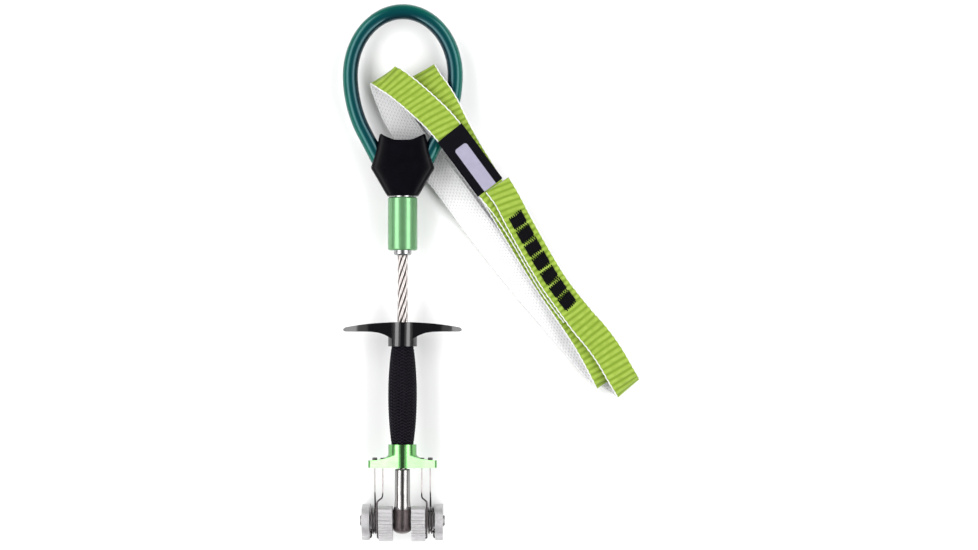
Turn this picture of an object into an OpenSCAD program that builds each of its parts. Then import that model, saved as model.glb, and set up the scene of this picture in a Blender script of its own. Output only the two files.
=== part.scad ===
// Spring loaded camming device with a thumb loop and a doubled webbing sling.
// Frame: origin at the middle of the axle, +X along the axle, +Y towards the thumb loop,
// +Z up from the surface that the device lies on. Sizes are in millimetres.

/* [Cam lobes] */
// Radius of the cam face where it points away from the stem
cam_r = 7.4; // [7.3:0.05:7.5]
// Angle that the cam face makes with a circle about the axle
cam_angle = 16; // [15.5:0.25:16.5]
// Teeth on each cam face
tooth_count = 19; // [12:1:22]
// Depth of the teeth
tooth_depth = 0.35; // [0.2:0.05:0.4]
// Turn of each lobe from fully open to fully closed
lobe_turn = 85; // [80:1:86]
// Distance from the axle to the hole that the trigger wire hooks into
hook_r = 6.9; // [6.8:0.05:7.0]

/* [Axle and stem] */
// Radius of the axle
axle_r = 1.8; // [1.6:0.05:1.8]
// Radius of the stem cable
cable_r = 1.95; // [1.8:0.05:1.95]
// Radius of the stem head at the axle
head_r = 3.6; // [3.4:0.05:3.6]

/* [Trigger] */
// Half the span of the trigger bar
bar_half = 22.9; // [20:0.1:24]
// Half the depth of the trigger bar
bar_depth = 4; // [3.5:0.1:4.5]
// Largest radius of the braided sheath
sheath_r = 5.6; // [4.8:0.1:5.8]
// Radius of the trigger wires
wire_r = 0.4; // [0.3:0.05:0.4]

/* [Thumb loop] */
// Half the width of the thumb loop, to the middle of its tube
loop_half = 20.3; // [19:0.1:20.5]
// Radius of the plastic tube over the loop cable
cover_r = 2.95; // [2.7:0.05:2.95]
// Radius of the green sleeve
sleeve_r = 5.7; // [5.2:0.1:5.8]

/* [Sling] */
// Width of the webbing
web_w = 11.5; // [10:0.1:11.5]
// Thickness of the webbing
web_t = 1.2; // [1.0:0.1:1.2]

/* [Hidden] */
$fn = 48;

// The device lies on its outer lobes and on its sling, so the stem slopes down a little.
lay_tilt = 1.6;
// Gaps of moving fits and of parts that are pressed together.
run_gap = 0.05;
press_gap = 0.02;

// Places along the axle, from the middle out.
inner_x0 = head_r + run_gap;
inner_x1 = 8.9;
bush_x0 = inner_x1 + run_gap;
bush_x1 = 12.55;
outer_x0 = bush_x1 + run_gap;
outer_x1 = 15.6;
axle_end = 16.3;
axle_cap_r = 2.1;
bush_r = 3.2;

// Places along the stem.
head_bottom = -5.1;
head_top = 4.2;
terminal_top = 19.8;
yoke_bottom = 20.3;
yoke_flange_top = 23.1;
yoke_top = 29.3;
collar_r = 5.45;
cup_floor = 25.2;
// The liner, the clamps about its ends and the cups that they sit in.
liner_r = 3.3;
liner_bore = 2.2;
clamp_r = 3.7;
clamp_length = 3;
cup_r = 4.35;
trigger_bottom = 67.0;
trigger_cup = 70.9;
trigger_top = 76.3;
ferrule_bottom = 102.1;
sleeve_bottom = 104.0;
sleeve_top = 124.6;
ferrule_top = 125.4;
cable_top = 111.5;
core_r = 4.2;

// Cam faces are logarithmic spirals, measured from the -Y direction.
cam_k = tan(cam_angle);
cam_start = -25;
cam_tip = 114;
cam_back_r = 5.3;
// How fast the back falls from the tip to that radius.
back_fall = 2.8;
cam_back_from = 190;
cam_back_to = 325;
hook_angle = lobe_turn / 2;
hook_hole_r = 1.42;
wire_z = hook_r * (1 + cos(hook_angle)) / 2;
hook_y = -hook_r * sin(hook_angle);

// Torsion springs.
spring_r = 4.85;
spring_wire_r = 0.33;
leg_end_r = 6.8;
leg_end_angle = 75;
leg_hole_r = 0.45;
spring_x0 = bush_x0 + 0.45;
spring_x1 = bush_x1 - 0.45;
spring_turns = 2;

function cam_radius(a) = cam_r * exp(cam_k * a * PI / 180);
function polar(r, a) = [-r * cos(a), r * sin(a)];
function unit(v) = v / norm(v);
function flat(v, t) = unit(v - (v * t) * t);
function tangents(p) = [for (i = [0:len(p) - 1])
    unit(p[min(i + 1, len(p) - 1)] - p[max(i - 1, 0)])];
function frames(t, n0) = [for (i = 0, n = flat(n0, t[0]); i < len(t);
    i = i + 1, n = i < len(t) ? flat(n, t[i]) : n) n];
function ring(c, t, n, r, sides) = [for (k = [0:sides - 1])
    c + r * cos(360 * k / sides) * n + r * sin(360 * k / sides) * cross(n, t)];
function flatten(lists) = [for (l = lists) for (e = l) e];
function side_faces(rows, sides, base) = flatten([for (i = [0:rows - 2], k = [0:sides - 1])
    let (a = base + i * sides, b = a + sides, m = (k + 1) % sides)
    [[a + k, a + m, b + m], [a + k, b + m, b + k]]]);
function reversed(faces) = [for (f = faces) [f[2], f[1], f[0]]];

// A point on a Catmull-Rom curve through the list p, at i + u.
function spline(p, i, u) =
    let (a = p[max(i - 1, 0)], b = p[i], c = p[min(i + 1, len(p) - 1)], d = p[min(i + 2, len(p) - 1)])
    0.5 * (2 * b + (c - a) * u + (2 * a - 5 * b + 4 * c - d) * u * u
        + (3 * b - a - 3 * c + d) * u * u * u);
function smooth(p, steps) = concat(
    [for (i = [0:len(p) - 2], s = [0:steps - 1]) spline(p, i, s / steps)],
    [p[len(p) - 1]]);

// A round rod of radius r along the points p.
module rod(p, r, sides, n0) {
    t = tangents(p);
    n = frames(t, n0);
    rings = [for (i = [0:len(p) - 1]) ring(p[i], t[i], n[i], r, sides)];
    last = (len(p) - 1) * sides;
    polyhedron(
        points = flatten(rings),
        faces = concat(
            side_faces(len(p), sides, 0),
            [for (k = [1:sides - 2]) [0, k + 1, k]],
            [for (k = [1:sides - 2]) [last, last + k, last + k + 1]]));
}

// A hose along the points p, open at both ends.
module hose(p, r_out, r_in, sides, n0) {
    t = tangents(p);
    n = frames(t, n0);
    rows = len(p);
    outer = [for (i = [0:rows - 1]) ring(p[i], t[i], n[i], r_out, sides)];
    inner = [for (i = [0:rows - 1]) ring(p[i], t[i], n[i], r_in, sides)];
    base = rows * sides;
    last = (rows - 1) * sides;
    polyhedron(
        points = concat(flatten(outer), flatten(inner)),
        faces = concat(
            side_faces(rows, sides, 0),
            reversed(side_faces(rows, sides, base)),
            flatten([for (k = [0:sides - 1]) let (m = (k + 1) % sides)
                [[k, base + k, base + m], [k, base + m, m],
                 [last + k, last + m, base + last + m],
                 [last + k, base + last + m, base + last + k]]])));
}

// A flat band. Each point is [x, y, z, direction of its width in the XY plane, tilt of its width].
function width_of(q) = [cos(q[3]) * cos(q[4]), sin(q[3]) * cos(q[4]), sin(q[4])];
module band(route, w, t, lift = 0) {
    c = [for (q = route) [q[0], q[1], q[2]]];
    d = tangents(c);
    corners = [for (i = [0:len(c) - 1])
        let (v = flat(width_of(route[i]), d[i]), n = cross(d[i], v), m = c[i] + lift * n)
        [m - v * w / 2 - n * t / 2, m - v * w / 2 + n * t / 2,
         m + v * w / 2 + n * t / 2, m + v * w / 2 - n * t / 2]];
    last = (len(c) - 1) * 4;
    polyhedron(
        points = flatten(corners),
        faces = concat(
            side_faces(len(c), 4, 0),
            [[0, 2, 1], [0, 3, 2], [last, last + 1, last + 2], [last, last + 2, last + 3]]));
}

module laid() {
    rotate([-lay_tilt, 0, 0]) children();
}
// Turns a shape drawn about the Z axis so that it lies along +X or +Y.
module along_x() {
    rotate([90, 0, 90]) children();
}
module along_y(y0 = 0) {
    translate([0, y0, 0]) rotate([-90, 0, 0]) children();
}
module pipe_y(y0, y1, r_out, r_in) {
    along_y(y0) difference() {
        cylinder(h = y1 - y0, r = r_out);
        translate([0, 0, -1]) cylinder(h = y1 - y0 + 2, r = r_in);
    }
}
// Draws a profile of [radius, y] points as a round shape about the Y axis.
module lathe_y(points) {
    rotate([-90, 0, 0]) rotate_extrude() polygon(points);
}

// ---- Head ----
module stem_head() {
    dome = [for (a = [0:10:80]) [head_r * sin(a), -3.0 - (-3.0 - head_bottom) * cos(a)]];
    color("#7a6b6e") laid() difference() {
        lathe_y(concat(dome, [[head_r, -3.0], [head_r, head_top], [0, head_top]]));
        along_x() cylinder(h = 4 * head_r, r = axle_r, center = true);
    }
}

module stem_terminal() {
    flare = [for (u = [0:0.125:1]) [2.95 + 0.5 * pow(1 - u, 3), head_top + 6 * u]];
    bore = cable_r + press_gap;
    color("#d9dadc") laid() lathe_y(concat(
        [[bore, head_top]],
        flare,
        [[2.95, terminal_top - 0.4], [2.6, terminal_top], [bore, terminal_top]]));
}

module stem_cable() {
    color("#cfc8c0") laid() along_y(head_top + 0.05)
        cylinder(h = cable_top - head_top - 0.05, r = cable_r);
}

module axle() {
    color("#c9cacc") laid() union() {
        along_x() cylinder(h = 2 * outer_x1 + 0.2, r = axle_r, center = true);
        for (side = [0, 1]) mirror([side, 0, 0]) translate([outer_x1 + run_gap, 0, 0]) along_x()
            cylinder(h = axle_end - outer_x1 - run_gap, r1 = axle_cap_r, r2 = axle_cap_r - 0.3);
    }
}

module spring_bushes() {
    color("#a9abae") laid() for (side = [0, 1]) mirror([side, 0, 0])
        translate([bush_x0, 0, 0]) along_x() difference() {
            cylinder(h = bush_x1 - bush_x0, r = bush_r);
            translate([0, 0, -1]) cylinder(h = 6, r = axle_r + press_gap);
        }
}

// ---- Lobes ----
module lobe_outline() {
    step = (cam_tip - cam_start) / tooth_count;
    face = flatten([for (i = [0:tooth_count - 1]) let (a = cam_start + i * step)
        [polar(cam_radius(a) - tooth_depth, a),
         polar(cam_radius(a + 0.25 * step), a + 0.25 * step),
         polar(cam_radius(a + 0.7 * step), a + 0.7 * step),
         polar(cam_radius(a + 0.95 * step) - tooth_depth, a + 0.95 * step)]]);
    tip_r = cam_radius(cam_tip) - 0.5;
    back = [for (u = [0:0.1:1])
        polar(cam_back_r + (tip_r - cam_back_r) * pow(1 - u, back_fall),
            cam_tip + 2 + u * (cam_back_from - cam_tip - 2))];
    hub = [for (a = [cam_back_from + 9:9:cam_back_to]) polar(cam_back_r, a)];
    polygon(concat(face, [polar(cam_radius(cam_tip), cam_tip)], back, hub));
}

// A lobe whose cam face points up, from x0 to x1 along the axle.
module lobe(x0, x1) {
    translate([x0, 0, 0]) along_x() difference() {
        linear_extrude(x1 - x0) lobe_outline();
        translate([0, 0, -1]) cylinder(h = x1 - x0 + 2, r = axle_r + run_gap);
        translate([hook_y, hook_r * cos(hook_angle), -1]) cylinder(h = x1 - x0 + 2, r = hook_hole_r);
        translate([-leg_end_r * sin(leg_end_angle), leg_end_r * cos(leg_end_angle), -1])
            cylinder(h = x1 - x0 + 2, r = leg_hole_r);
    }
}
module inner_lobe(side) {
    color("#d2d4d6") laid() mirror([side, 0, 0]) lobe(inner_x0, inner_x1);
}
module outer_lobe(side) {
    color("#d2d4d6") laid() mirror([side, 0, 0]) mirror([0, 0, 1]) lobe(outer_x0, outer_x1);
}
module inner_lobe_left() { inner_lobe(1); }
module inner_lobe_right() { inner_lobe(0); }
module outer_lobe_left() { outer_lobe(1); }
module outer_lobe_right() { outer_lobe(0); }

// ---- Torsion springs: a leg, the coil about the axle, and the other leg ----
function spring_point(x, r, a) = [x, -r * sin(a), r * cos(a)];
module torsion_spring(side) {
    leave = leg_end_angle - acos(spring_r / leg_end_r);
    sweep_angle = 2 * leave + 180 + 360 * spring_turns;
    steps = 40;
    coil = [for (i = [0:steps])
        spring_point(spring_x0 + (spring_x1 - spring_x0) * i / steps, spring_r,
            leave - sweep_angle * i / steps)];
    foot0 = spring_point(spring_x0, leg_end_r, leg_end_angle);
    foot1 = spring_point(spring_x1, leg_end_r, 180 - leg_end_angle);
    pin = [1.6, 0, 0];
    bend = [0.35, 0, 0];
    inward = unit(coil[0] - foot0) * 0.35;
    outward = unit(coil[steps] - foot1) * 0.35;
    path = concat(
        [foot0 - pin, foot0 - bend, foot0 + inward],
        coil,
        [foot1 + outward, foot1 + bend, foot1 + pin]);
    color("#8c8a88") laid() mirror([side, 0, 0]) rod(path, spring_wire_r, 6, [0, 0, 1]);
}
module torsion_spring_left() { torsion_spring(1); }
module torsion_spring_right() { torsion_spring(0); }

// ---- Trigger wires ----
INNER_WIRE = [
    [7.5, 24.0, 1.8], [7.5, 20.0, 1.8], [7.5, 12.0, 2.6], [7.5, 10.0, 3.4], [7.8, 8.9, 4.4],
    [8.8, 8.1, 5.3], [9.5, 7.1, wire_z]];
OUTER_WIRE = [
    [10.7, 24.0, 0.7], [10.7, 20.0, 0.7], [10.7, 12.0, 1.8], [10.7, 8.6, 4.0], [10.7, 6.4, 5.6]];

// A bead holds each wire on top of the yoke.
bead_r = 0.95;
inner_bead = INNER_WIRE[0];
outer_bead = [OUTER_WIRE[0][0], OUTER_WIRE[0][1], -OUTER_WIRE[0][2]];

// A trigger wire: its route, then down at x to the hook, whose tip reaches out to x_tip.
module trigger_wire(side, route, x, x_tip) {
    into = sign(x_tip - x);
    hook = [
        [x, 4.0, wire_z], [x, hook_y + 1.2, wire_z], [x, hook_y + 0.6, wire_z],
        [x + 0.18 * into, hook_y + 0.18, wire_z], [x + 0.6 * into, hook_y, wire_z],
        [x_tip, hook_y, wire_z]];
    color("#b9b2ae") mirror([side, 0, 0]) rod(concat(route, hook), wire_r, 8, [0, 0, 1]);
}
module inner_wire(side) {
    laid() trigger_wire(side, INNER_WIRE, 9.5, 7.6);
}
module outer_wire(side) {
    laid() mirror([0, 0, 1]) trigger_wire(side, OUTER_WIRE, 10.7, 14.0);
}
module inner_wire_left() { inner_wire(1); }
module inner_wire_right() { inner_wire(0); }
module outer_wire_left() { outer_wire(1); }
module outer_wire_right() { outer_wire(0); }

module wire_beads() {
    color("#8c8a88") laid() for (side = [0, 1], w = [inner_bead, outer_bead])
        mirror([side, 0, 0]) translate([w[0], 0, w[2]])
            pipe_y(yoke_flange_top + press_gap, INNER_WIRE[0][1] + 0.2, bead_r, wire_r + press_gap);
}

// ---- Yoke and sheath ----
module yoke_outline() {
    hull() {
        circle(r = collar_r);
        for (x = [-11.6, 11.6]) translate([x, 0]) circle(r = 1.65, $fn = 32);
    }
}
module yoke() {
    flare = [for (a = [0:10:90]) [collar_r + 7.8 * (1 - cos(a)), 25.6 - 2.5 * sin(a)]];
    color("#5cc96f") laid() difference() {
        intersection() {
            lathe_y(concat(
                [[0, yoke_bottom], [13.25, yoke_bottom]],
                [for (i = [len(flare) - 1:-1:0]) flare[i]],
                [[collar_r, yoke_top], [0, yoke_top]]));
            translate([0, yoke_top + 1, 0]) rotate([90, 0, 0])
                linear_extrude(yoke_top - yoke_bottom + 2) yoke_outline();
        }
        along_y(yoke_bottom - 1) cylinder(h = 20, r = liner_r + press_gap);
        along_y(cup_floor) cylinder(h = 10, r = cup_r);
        for (side = [0, 1], w = [inner_bead, outer_bead]) mirror([side, 0, 0])
            translate([w[0], yoke_bottom - 1, w[2]]) along_y() {
                cylinder(h = 8, r = wire_r + 0.12);
                translate([0, 0, yoke_flange_top - yoke_bottom + 1]) cylinder(h = 8, r = bead_r + 0.1);
            }
    }
}

module sheath_liner() {
    color("#e8e8e4") laid() pipe_y(yoke_bottom + 0.2, trigger_top - 0.6, liner_r, liner_bore);
}

module sheath_clamps() {
    color("#b5b5b5") laid() {
        pipe_y(cup_floor + 0.1, cup_floor + 0.1 + clamp_length, clamp_r, liner_r + press_gap);
        pipe_y(trigger_cup - 0.1 - clamp_length, trigger_cup - 0.1, clamp_r, liner_r + press_gap);
    }
}

function sheath_radius(y) =
    let (u = (y - yoke_top) / (trigger_bottom - yoke_top))
    4.2 + (sheath_r - 4.2) * pow(sin(180 * min(max(u, 0), 1)), 0.75);
module braided_sheath() {
    ys = concat([cup_floor + 0.05, yoke_top], [for (i = [1:19])
        yoke_top + (trigger_bottom - yoke_top) * i / 20], [trigger_bottom, trigger_cup - 0.05]);
    color("#1c1a22") laid() lathe_y(concat(
        [for (y = ys) [sheath_radius(y), y]],
        [for (i = [len(ys) - 1:-1:0]) [sheath_radius(ys[i]) - 0.45, ys[i]]]));
}

// ---- Trigger ----
// The bar arches over the hub, swells where it joins it and ends in round tips. Its depth is
// even up to bar_taper_x, then both faces curve in towards the tips.
bar_taper_x = 10;
bar_taper_r = 32;
bar_tip_u = 0.955;
function bar_tip(u) = sqrt(1 - pow(max(abs(u) - bar_tip_u, 0) / (1 - bar_tip_u), 2));
function bar_edge(u, side) = let (
        over = trigger_top - 2.1 * pow(abs(u), 2.2),
        under = trigger_top - 3.6 - 4.2 * exp(-pow(u / 0.27, 2)))
    [bar_half * u, (over + under) / 2 + side * bar_tip(u) * (over - under) / 2];
module bar_plan() {
    square([2 * bar_taper_x, 2 * bar_depth], center = true);
    for (s = [0, 1]) mirror([s, 0]) intersection() {
        translate([bar_taper_x - 1, -bar_depth]) square([bar_half - bar_taper_x + 1, 2 * bar_depth]);
        translate([bar_taper_x, bar_depth - bar_taper_r]) circle(r = bar_taper_r, $fn = 240);
        translate([bar_taper_x, bar_taper_r - bar_depth]) circle(r = bar_taper_r, $fn = 240);
    }
}
module trigger_bar() {
    hub_r = 5.6;
    steps = 16;
    edge = concat([for (i = [-steps:steps]) bar_edge(sin(90 * i / steps), 1)],
        [for (i = [steps - 1:-1:1 - steps]) bar_edge(sin(90 * i / steps), -1)]);
    color("#17151c") laid() difference() {
        union() {
            along_y(trigger_bottom) cylinder(h = trigger_top - trigger_bottom, r = hub_r);
            intersection() {
                translate([0, 0, -bar_depth]) linear_extrude(2 * bar_depth) polygon(edge);
                translate([0, trigger_top + 1, 0]) rotate([90, 0, 0]) linear_extrude(12) bar_plan();
            }
        }
        along_y(trigger_bottom - 1)
            cylinder(h = trigger_top - trigger_bottom + 0.4, r = liner_r + press_gap);
        along_y(trigger_top - 1) cylinder(h = 3, r = liner_bore);
        along_y(trigger_bottom - 1) cylinder(h = trigger_cup - trigger_bottom + 1, r = cup_r);
    }
}

// ---- Thumb loop ----
// Each leg of the loop runs straight down into the boot, then side by side into the ferrule.
loop_y = 171.7;
loop_rise = 24.8;
leg_x = 15.3;
leg_y = 150.5;
leg_in_x = 2.05;
leg_in_y = 125.2;
leg_slope = atan((leg_x - leg_in_x) / (leg_y - leg_in_y));
leg_length = norm([leg_x - leg_in_x, leg_y - leg_in_y]);
// The tube covers this much of each straight leg, from its top down into the boot.
cover_leg = 16.5;
// The bent corner of a leg reaches this far past the straight bores.
corner = 0.6;
function bezier(a, b, c, d, u) =
    pow(1 - u, 3) * a + 3 * u * pow(1 - u, 2) * b + 3 * u * u * (1 - u) * c + pow(u, 3) * d;
LEG_CURVE = [for (u = [0:0.125:0.99]) bezier(
    [leg_x, leg_y, 0],
    [leg_x + 6 * sin(leg_slope), leg_y + 6 * cos(leg_slope), 0],
    [loop_half, loop_y - 8, 0],
    [loop_half, loop_y, 0], u)];
LOOP_TOP = [for (a = [0:9:180]) [loop_half * cos(a), loop_y + loop_rise * sin(a), 0]];
function flip(p) = [for (i = [len(p) - 1:-1:0]) [-p[i][0], p[i][1], p[i][2]]];
LOOP_PATH = concat(LEG_CURVE, LOOP_TOP, flip(LEG_CURVE));

module loop_cover() {
    low = [leg_x - cover_leg * sin(leg_slope), leg_y - cover_leg * cos(leg_slope), 0];
    color("#0a5657") laid()
        hose(concat([low], LOOP_PATH, flip([low])), cover_r, cable_r + 0.1, 16, [0, 0, 1]);
}
module loop_cable() {
    ends = [[leg_in_x, cable_top + 0.6, 0], [leg_in_x, leg_in_y, 0]];
    color("#cfc8c0") laid() rod(concat(ends, LOOP_PATH, flip(ends)), cable_r, 12, [0, 0, 1]);
}

// Straight bores along both legs, of radius r, from the ferrule for a length h.
module leg_bores(r, from, h) {
    for (side = [0, 1]) mirror([side, 0, 0]) translate([leg_in_x, leg_in_y, 0])
        rotate([0, 0, -leg_slope]) along_y(from) cylinder(h = h, r = r);
}

module ferrule() {
    nose_r = 3.5;
    color("#e6e6e6") laid() difference() {
        lathe_y([[0, ferrule_bottom], [nose_r - 0.5, ferrule_bottom], [nose_r, ferrule_bottom + 0.6],
            [nose_r, sleeve_bottom], [core_r, sleeve_bottom], [core_r, ferrule_top],
            [0, ferrule_top]]);
        along_y(ferrule_bottom - 1) cylinder(h = cable_top - ferrule_bottom + 1.1, r = cable_r + press_gap);
        for (x = [-1, 1]) translate([x * leg_in_x, 0, 0])
            along_y(cable_top + 0.5) cylinder(h = ferrule_top - cable_top, r = cable_r + 0.04);
        leg_bores(cable_r + 0.04, -corner, 8);
    }
}

module anodised_sleeve() {
    bevel = 0.5;
    bore = core_r + press_gap;
    color("#6cc47a") laid() lathe_y([[bore, sleeve_bottom], [sleeve_r - bevel, sleeve_bottom],
        [sleeve_r, sleeve_bottom + bevel], [sleeve_r, sleeve_top - bevel],
        [sleeve_r - bevel, sleeve_top], [bore, sleeve_top]]);
}

module boot() {
    saddle = [for (a = [0:15:180]) [8.2 * cos(a), 149.0 - 2.6 * sin(a)]];
    front = concat(
        [[6.2, 125.1], [9.2, 130.7], [12.0, 135.4], [12.2, 136.2], [11.35, 138.9], [10.3, 142.2],
         [8.9, 148.6]],
        saddle,
        [[-8.9, 148.6], [-10.3, 142.2], [-11.35, 138.9], [-12.2, 136.2], [-12.0, 135.4],
         [-9.2, 130.7], [-6.2, 125.1]]);
    color("#100f16") laid() difference() {
        intersection() {
            translate([0, 0, -8]) linear_extrude(16) polygon(front);
            translate([-20, 0, 0]) along_x() linear_extrude(40) polygon([
                [125, -5.4], [129, -5.2], [134, -4.8], [149.5, -4.1],
                [149.5, 4.1], [134, 4.8], [129, 5.2], [125, 5.4]]);
        }
        along_y(sleeve_top) cylinder(h = ferrule_top - sleeve_top + 0.3, r = core_r + 0.05);
        leg_bores(cable_r + 0.05, -corner, leg_length);
        leg_bores(cover_r + 0.05, leg_length - cover_leg - 0.2, cover_leg + 5);
    }
}

// ---- Sling ----
// Route of the webbing: [x, y, z, direction of its width in degrees, tilt of its width].
// It starts at the upper end of the sewn overlap, runs out to the far end, back under the loop's
// right leg, over it, out and back again, over it once more, and ends under its own start.
SLING = [
    [36.6, 129.4, -2.9, 34, 0], [40.2, 124.0, -3.6, 34, 0], [44.5, 115.8, -4.4, 33, 0],
    [48.9, 107.8, -4.9, 33, 0], [53.5, 99.8, -5.0, 33, 0], [58.5, 91.6, -4.6, 34, 0],
    [63.7, 84.4, -3.8, 35, 0], [69.2, 77.2, -2.7, 33, 0], [74.8, 70.6, -1.5, 31, 0],
    [79.6, 63.9, -0.7, 29, 0], [83.4, 57.4, -0.9, 31, 0], [86.0, 52.9, -2.6, 37, -2],
    [87.0, 51.0, -5.8, 41, -4], [86.2, 51.4, -8.8, 42, -3], [83.4, 53.6, -10.8, 42, 0],
    [77.6, 58.4, -11.4, 41, 0], [66.4, 69.8, -11.4, 39, 0], [54.6, 83.2, -11.4, 38, 0],
    [42.8, 97.4, -11.4, 37, 0], [32.0, 111.6, -11.4, 33, 0], [22.6, 127.0, -11.4, 28, 0],
    [15.8, 143.0, -11.4, 22, 0], [11.6, 158.0, -11.4, 21, 0], [9.4, 167.0, -10.8, 24, 0],
    [8.0, 171.1, -8.8, 28, 0], [7.6, 172.9, -6.0, 30, 0], [8.2, 172.1, -3.2, 31, 0],
    [10.2, 168.7, -1.2, 32, 0], [13.6, 164.0, -0.4, 32, 0], [17.0, 158.2, -0.2, 31, 0],
    [20.4, 151.2, -0.2, 31, 0], [25.2, 142.6, -2.0, 32, 0], [31.2, 133.0, -4.9, 33, 0],
    [37.6, 122.6, -7.2, 33, 0], [43.6, 112.6, -8.0, 33, 0], [50.2, 101.6, -8.3, 33, 0],
    [57.2, 90.4, -7.7, 33, 0], [64.0, 80.4, -6.1, 32, 0], [70.2, 71.0, -3.9, 30, 0],
    [75.0, 62.6, -2.7, 29, 0], [77.9, 57.0, -3.0, 31, 0], [79.2, 54.4, -4.9, 33, 0],
    [79.0, 54.2, -7.4, 35, 0], [76.8, 56.4, -9.4, 37, 0], [71.2, 62.8, -9.9, 38, 0],
    [61.2, 74.4, -9.9, 38, 0], [50.0, 87.4, -9.9, 38, 0], [38.6, 101.4, -9.9, 37, 0],
    [27.8, 115.4, -9.9, 35, 0], [17.6, 129.2, -9.9, 33, 0], [7.2, 142.2, -9.9, 30, 0],
    [-1.4, 154.5, -9.9, 27, 0], [-5.0, 162.6, -9.6, 27, 0], [-7.0, 168.4, -7.6, 30, 0],
    [-7.5, 170.8, -4.4, 33, 0], [-6.3, 170.6, -1.4, 35, 2], [-2.7, 168.6, 0.6, 38, 2],
    [2.2, 164.8, 1.5, 42, 0], [7.9, 159.8, 1.7, 42, 0], [13.4, 154.6, 1.6, 41, 0],
    [18.1, 149.2, 1.4, 38, 0], [23.6, 142.0, -0.1, 35, 0], [28.8, 135.0, -2.1, 34, 0],
    [34.2, 127.8, -4.0, 34, 0], [38.8, 121.8, -5.1, 34, 0], [43.6, 114.6, -5.8, 33, 0],
    [48.2, 107.1, -6.3, 33, 0], [52.8, 99.0, -6.4, 33, 0], [57.6, 91.0, -6.0, 34, 0],
    [62.8, 83.8, -5.2, 35, 0], [66.4, 79.4, -4.7, 34, 0]];
function along_sling(s) = spline(SLING, floor(s), s - floor(s));
// The label lies on the top layer between these points of the route, short of the overlap.
label_from = len(SLING) - 11;
label_to = len(SLING) - 8.1;
label_t = 0.5;
// Bar tacks cross the overlap, from this point of the route on and this far apart.
tack_from = 2.02;
tack_pitch = 0.66;
tack_half = 0.22;
tack_count = 7;
tack_w = 5.7;
tack_t = 0.5;
sewn_gap = 0.06;

module sling_webbing() {
    color("#a6c14e") band(smooth(SLING, 2), web_w, web_t);
}
module sling_label() {
    route = [for (u = [0:0.125:1]) along_sling(label_from + (label_to - label_from) * u)];
    color("#1b1a1f") band(route, web_w + 0.4, label_t, (web_t + label_t) / 2 + sewn_gap);
}
module bar_tacks() {
    color("#131218") for (i = [0:tack_count - 1]) {
        s = tack_from + i * tack_pitch;
        route = [for (u = [-tack_half, 0, tack_half]) along_sling(s + u)];
        band(route, tack_w, tack_t, (web_t + tack_t) / 2 + sewn_gap);
    }
}

stem_head();
stem_terminal();
stem_cable();
axle();
spring_bushes();
inner_lobe_left();
inner_lobe_right();
outer_lobe_left();
outer_lobe_right();
torsion_spring_left();
torsion_spring_right();
inner_wire_left();
inner_wire_right();
outer_wire_left();
outer_wire_right();
wire_beads();
yoke();
sheath_liner();
sheath_clamps();
braided_sheath();
trigger_bar();
ferrule();
anodised_sleeve();
boot();
loop_cable();
loop_cover();
sling_webbing();
sling_label();
bar_tacks();
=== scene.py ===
import math
import random

import bpy
import numpy as np
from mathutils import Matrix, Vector


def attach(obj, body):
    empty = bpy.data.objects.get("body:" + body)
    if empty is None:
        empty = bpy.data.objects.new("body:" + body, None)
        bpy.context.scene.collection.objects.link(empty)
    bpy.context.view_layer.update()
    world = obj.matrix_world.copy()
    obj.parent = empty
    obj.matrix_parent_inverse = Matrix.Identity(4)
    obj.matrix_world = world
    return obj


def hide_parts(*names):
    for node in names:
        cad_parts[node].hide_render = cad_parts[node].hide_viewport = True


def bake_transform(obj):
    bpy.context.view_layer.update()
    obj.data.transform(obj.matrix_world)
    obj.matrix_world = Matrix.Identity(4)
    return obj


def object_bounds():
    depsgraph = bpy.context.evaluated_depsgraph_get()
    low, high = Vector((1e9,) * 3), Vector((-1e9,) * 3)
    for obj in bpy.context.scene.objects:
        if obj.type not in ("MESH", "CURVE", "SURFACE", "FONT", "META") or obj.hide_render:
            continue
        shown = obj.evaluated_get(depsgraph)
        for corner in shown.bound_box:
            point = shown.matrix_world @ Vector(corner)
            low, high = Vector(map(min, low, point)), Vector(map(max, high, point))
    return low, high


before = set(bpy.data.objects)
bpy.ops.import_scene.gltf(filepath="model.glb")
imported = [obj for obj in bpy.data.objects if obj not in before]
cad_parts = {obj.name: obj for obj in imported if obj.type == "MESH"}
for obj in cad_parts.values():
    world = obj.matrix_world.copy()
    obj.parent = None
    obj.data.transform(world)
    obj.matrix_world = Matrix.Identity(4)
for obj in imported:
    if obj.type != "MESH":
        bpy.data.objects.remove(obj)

cad_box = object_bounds()
random.seed(7)

MM = 0.001
TAU = 2 * math.pi
SIDES = (("left", -1), ("right", 1))
# The stem slopes down from the head towards the loop by this much, as in the CAD.
LAY = math.radians(1.6)
TABLE_Z = cad_box[0][2]

# ---------------------------------------------------------------- camera
# It looks straight down at the table from about a metre above the middle of the device.
cam_data = bpy.data.cameras.new("camera")
cam_data.sensor_width = 36
cam_data.lens = 100
cam_data.clip_start = 0.05
cam = bpy.data.objects.new("camera", cam_data)
cam.location = (0.03334, 0.09452, 1.0459)
bpy.context.scene.collection.objects.link(cam)
bpy.context.scene.camera = cam


# ---------------------------------------------------------------- mesh making
def unit(a):
    return a / np.linalg.norm(a, axis=-1, keepdims=True)


def tangents(path):
    return unit(np.gradient(path, axis=0))


def frames(path, up):
    """Tangent, normal and side at each point; the normal starts at up and is carried along."""
    t = tangents(path)
    n = np.empty_like(t)
    v = np.array(up, float)
    for i, d in enumerate(t):
        v = v - d * v.dot(d)
        v = v / np.linalg.norm(v)
        n[i] = v
    return t, n, np.cross(t, n)


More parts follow.
